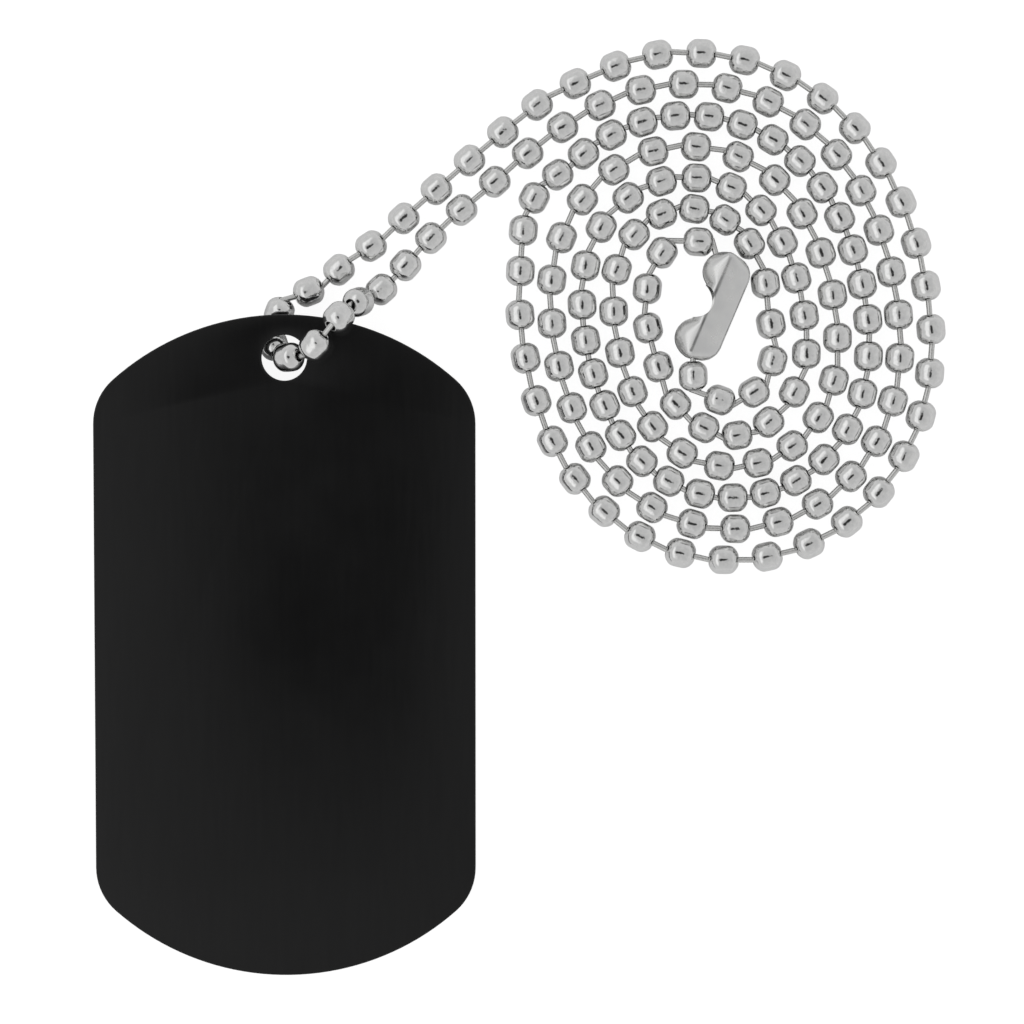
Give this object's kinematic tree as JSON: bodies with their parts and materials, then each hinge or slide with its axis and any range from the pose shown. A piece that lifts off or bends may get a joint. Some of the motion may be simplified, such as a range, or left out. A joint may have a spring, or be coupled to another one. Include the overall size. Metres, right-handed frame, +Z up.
{
  "type": "identification tag on ball chain",
  "caption": "Blank identification tag with rounded ends and a hole, threaded on a closed ball chain that lies wound in a coil beside it, its ends held by a folded metal connector.",
  "frame": {"origin": "middle of the box's base, on the surface that the part lies on", "axes": "+Z up from the surface; +Y along the plate's long side towards its hole; +X from the plate towards the coil"},
  "size_m": [0.0654, 0.072, 0.006],
  "materials": {
    "tag_plate": "matte black anodised, faintly brushed along its length",
    "chain": "bright nickel plate",
    "connector": "satin nickel plate on folded sheet"
  },
  "bodies": {
    "root": {"plate": "tag_plate", "front_strand": "chain", "back_strand": "chain", "connector": "connector"}
  },
  "joints": []
}
